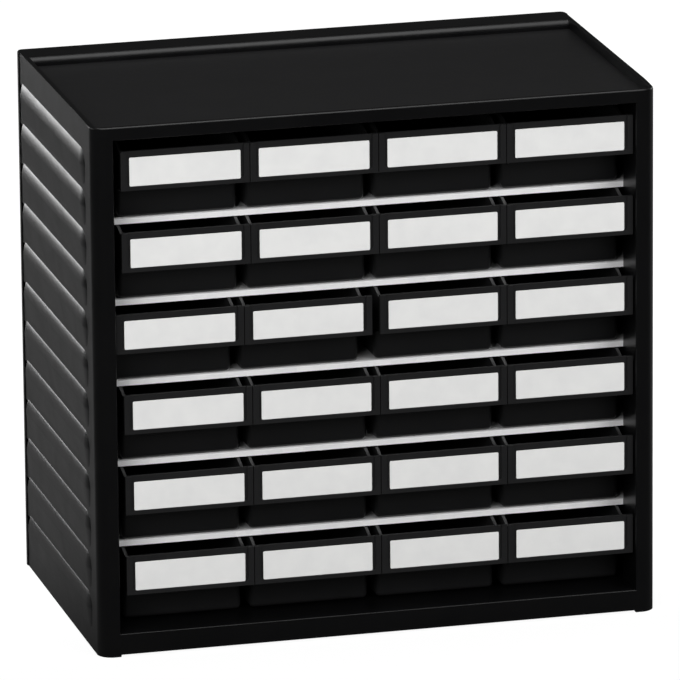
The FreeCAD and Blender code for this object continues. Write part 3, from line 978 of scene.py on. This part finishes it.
@dataclass
class DrawerBank:
    """The six rows of four drawers and the steel shelves between the rows."""

    rows: int = 6
    columns: int = 4
    row_pitch: float = 44.3 * MM
    floor: float = 12.6 * MM
    rise: float = 0.3 * MM
    opening_side: float = 142.2 * MM
    row_margin: float = 0.8 * MM
    plate_width: float = 69.5 * MM
    gap: float = 0.4 * MM
    front: float = -87 * MM
    loose_row: int = 3
    loose_columns: int = 2
    loose_shift: float = 4 * MM
    card_foot: float = 22.3 * MM
    card_back: float = 0.5 * MM

    def place(self, row: int, column: int) -> Triple:
        """Works out where a drawer's own origin stands.

        Args:
            row: counted from the top.
            column: counted from the left.

        Returns:
            The place of the foot of its label plate's front.
        """
        last = self.opening_side - self.row_margin - self.plate_width / 2
        x = last - (self.plate_width + self.gap) * (self.columns - column)
        if row == self.loose_row and column <= self.loose_columns:
            x -= self.loose_shift
        return x, self.front, self.floor + self.row_pitch * (self.rows - row) + self.rise

    def build(self, plastic: bpy.types.Material, steel: bpy.types.Material, card: bpy.types.Material) -> None:
        """Makes every shelf, drawer and card.

        Args:
            plastic: the drawers' finish.
            steel: the shelves' finish.
            card: the labels' finish.
        """
        for number in range(1, self.rows):
            shelf = SteelShelf(number, self.floor + self.row_pitch * (self.rows - number))
            LOG.info("made %s", shelf.build(steel).name)
        for row in range(1, self.rows + 1):
            for column in range(1, self.columns + 1):
                tag = "%d_%d" % (row, column)
                x, y, z = self.place(row, column)
                LOG.info("made %s", Drawer(tag, x, y, z).build(plastic).name)
                label = LabelCard(tag, x, y + self.card_back, z + self.card_foot)
                LOG.info("made %s", label.build(card).name)


@dataclass(frozen=True)
class Softbox:
    """A soft lamp that shines at the cabinet's middle, and may be kept out of mirrored rays."""

    name: str
    azimuth: float
    elevation: float
    distance: float
    width: float
    height: float
    power: float
    colour: Triple = (1.0, 1.0, 1.0)
    target: Triple = (0.0, 0.0, 0.145)
    mirrored: bool = True

    def build(self) -> bpy.types.Object:
        """Makes the lamp.

        Returns:
            The lamp's object.
        """
        lamp = bpy.data.lights.new(self.name, "AREA")
        lamp.shape = "RECTANGLE"
        lamp.size = self.width
        lamp.size_y = self.height
        lamp.energy = self.power
        lamp.color = self.colour
        made = bpy.data.objects.new(self.name, lamp)
        bpy.context.scene.collection.objects.link(made)
        around = math.radians(self.azimuth)
        up = math.radians(self.elevation)
        away = Vector((math.sin(around) * math.cos(up), -math.cos(around) * math.cos(up), math.sin(up)))
        made.location = Vector(self.target) + away * self.distance
        made.rotation_euler = away.to_track_quat("Z", "Y").to_euler()
        made.visible_camera = False
        made.visible_glossy = self.mirrored
        return made


@dataclass
class Studio:
    """The plain pale floor, the dim room with its lamps, and the camera."""

    floor_radius: float = 9.0
    floor_facets: int = 96
    floor_colour: Triple = (0.064, 0.064, 0.064)
    # Painted light: the paler patch at the back left stands in for floor lit by the back-left lamp, for the
    # sides to mirror.
    painted_light_patch_colour: Triple = (0.24, 0.24, 0.24)
    patch_front: tuple[float, float] = (-0.10, 0.05)
    patch_left: tuple[float, float] = (-0.34, -0.12)
    patch_lean: float = 0.50
    floor_glow: float = 0.93
    room_low: Triple = (0.030, 0.030, 0.030)
    room_light: float = 1.0
    lens: float = 476.5
    sensor: float = 36.0
    camera_place: Triple = (-1.161, -4.527, 1.4625)
    camera_azimuth: float = 14.41
    camera_elevation: float = 15.81
    camera_roll: float = -0.50
    softboxes: tuple[Softbox, ...] = (
        Softbox("overhead", azimuth=0.0, elevation=80.0, distance=1.5, width=1.6, height=1.3, power=17.0),
        Softbox("front_left", azimuth=-42.0, elevation=24.0, distance=2.0, width=1.3, height=1.0, power=30.0,
                mirrored=False),
        Softbox("front_right", azimuth=38.0, elevation=26.0, distance=2.0, width=1.3, height=1.0, power=24.0,
                mirrored=False),
        Softbox("left", azimuth=-116.0, elevation=15.0, distance=2.2, width=1.0, height=0.5, power=5.0),
        Softbox("right", azimuth=116.0, elevation=15.0, distance=2.2, width=1.0, height=0.5, power=6.0),
        Softbox("back_left", azimuth=-160.0, elevation=1.9, distance=2.2, width=0.8, height=0.42, power=6.2),
    )

    def build(self) -> None:
        """Makes the whole studio."""
        self.add_floor()
        self.add_room()
        for lamp in self.softboxes:
            lamp.build()
        self.add_camera()
        bpy.context.scene.view_settings.view_transform = "Standard"

    def add_floor(self) -> None:
        """Makes the floor: white to the camera, else a dark card with a patch of painted light at the back
        left.
        """
        mesh = bmesh.new()
        bmesh.ops.create_circle(mesh, cap_ends=True, segments=self.floor_facets,
                               radius=self.floor_radius)
        data = bpy.data.meshes.new("floor")
        mesh.to_mesh(data)
        mesh.free()
        floor = bpy.data.objects.new("floor", data)
        bpy.context.scene.collection.objects.link(floor)
        material = bpy.data.materials.new("floor_sheet")
        material.use_nodes = True
        bench = ShaderBench(material.node_tree)
        path = bench.add("ShaderNodeLightPath")
        seen = bench.add("ShaderNodeMath", operation="ADD", use_clamp=True)
        bench.join(path.outputs["Is Camera Ray"], seen.inputs[0])
        bench.join(path.outputs["Is Transmission Ray"], seen.inputs[1])
        strength = bench.add("ShaderNodeMath", operation="MULTIPLY")
        strength.inputs[1].default_value = self.floor_glow
        bench.join(seen.outputs["Value"], strength.inputs[0])
        place = bench.add("ShaderNodeTexCoord")
        parts = bench.add("ShaderNodeSeparateXYZ")
        bench.join(place.outputs["Object"], parts.inputs["Vector"])
        lean = bench.add("ShaderNodeMath", operation="MULTIPLY_ADD")
        lean.inputs[1].default_value = self.patch_lean
        bench.join(parts.outputs["Y"], lean.inputs[0])
        bench.join(parts.outputs["X"], lean.inputs[2])
        share = bench.add("ShaderNodeMath", operation="MULTIPLY")
        for socket, source, (low, high) in zip(share.inputs, (parts.outputs["Y"], lean.outputs["Value"]),
                                               (self.patch_front, self.patch_left)):
            turn = bench.add("ShaderNodeMapRange", From_Min=low, From_Max=high)
            bench.join(source, turn.inputs["Value"])
            bench.join(turn.outputs["Result"], socket)
        # Painted light: the patch at the back left is mixed in towards the paler colour.
        shade = bench.add("ShaderNodeMix", data_type="RGBA")
        shade.inputs["A"].default_value = (*self.floor_colour, 1.0)
        shade.inputs["B"].default_value = (*self.painted_light_patch_colour, 1.0)
        bench.join(share.outputs["Value"], shade.inputs["Factor"])
        card = bench.add("ShaderNodeBsdfDiffuse")
        bench.join(shade.outputs["Result"], card.inputs["Color"])
        glow = bench.add("ShaderNodeEmission")
        bench.join(strength.outputs["Value"], glow.inputs["Strength"])
        both = bench.add("ShaderNodeAddShader")
        bench.join(card.outputs["BSDF"], both.inputs[0])
        bench.join(glow.outputs["Emission"], both.inputs[1])
        bench.show(both.outputs["Shader"])
        data.materials.append(material)

    def add_room(self) -> None:
        """Makes the room: white behind everything, dim where it lights or is mirrored."""
        world = bpy.data.worlds.new("room")
        bpy.context.scene.world = world
        world.use_nodes = True
        bench = ShaderBench(world.node_tree)
        path = bench.add("ShaderNodeLightPath")
        seen = bench.add("ShaderNodeMath", operation="ADD", use_clamp=True)
        bench.join(path.outputs["Is Camera Ray"], seen.inputs[0])
        bench.join(path.outputs["Is Transmission Ray"], seen.inputs[1])
        dim = bench.add("ShaderNodeBackground", Strength=self.room_light)
        dim.inputs["Color"].default_value = (*self.room_low, 1.0)
        white = bench.add("ShaderNodeBackground", Strength=1.0)
        white.inputs["Color"].default_value = (1.0, 1.0, 1.0, 1.0)
        mix = bench.add("ShaderNodeMixShader")
        bench.join(seen.outputs["Value"], mix.inputs["Fac"])
        bench.join(dim.outputs["Background"], mix.inputs[1])
        bench.join(white.outputs["Background"], mix.inputs[2])
        bench.show(mix.outputs["Shader"], "ShaderNodeOutputWorld")

    def add_camera(self) -> None:
        """Sets up the camera at the photograph's angle."""
        data = bpy.data.cameras.new("camera")
        data.lens = self.lens
        data.sensor_width = self.sensor
        data.clip_start = 0.1
        data.clip_end = 100.0
        camera = bpy.data.objects.new("camera", data)
        bpy.context.scene.collection.objects.link(camera)
        around, down, roll = (math.radians(angle) for angle in
                              (self.camera_azimuth, self.camera_elevation, self.camera_roll))
        ahead = Vector((math.sin(around) * math.cos(down), math.cos(around) * math.cos(down),
                        -math.sin(down)))
        level = Vector((math.cos(around), -math.sin(around), 0.0))
        above = level.cross(ahead)
        right = level * math.cos(roll) + above * math.sin(roll)
        up = above * math.cos(roll) - level * math.sin(roll)
        turn = Matrix((right, up, -ahead)).transposed().to_4x4()
        camera.matrix_world = Matrix.Translation(Vector(self.camera_place)) @ turn
        bpy.context.scene.camera = camera


def main() -> None:
    """Makes the studio and the cabinet, piece by piece."""
    logging.basicConfig(level=logging.INFO, format="%(name)s: %(message)s")
    Studio().build()
    LOG.info("made the studio")
    frame_plastic = MouldedPlastic("frame_black").build()
    # Painted light: the drawers get a paler copy of the frame's black, to lift their shaded lower walls.
    drawer_plastic = MouldedPlastic("drawer_black", colour=(0.0095, 0.0095, 0.0098),
                                    marked_colour=(0.0115, 0.0115, 0.0119)).build()
    made = CabinetFrame().build(frame_plastic)
    LOG.info("made %s", made.name)
    DrawerBank().build(drawer_plastic, GalvanisedSheet().build(), CardStock().build())


if __name__ == "__main__":
    main()
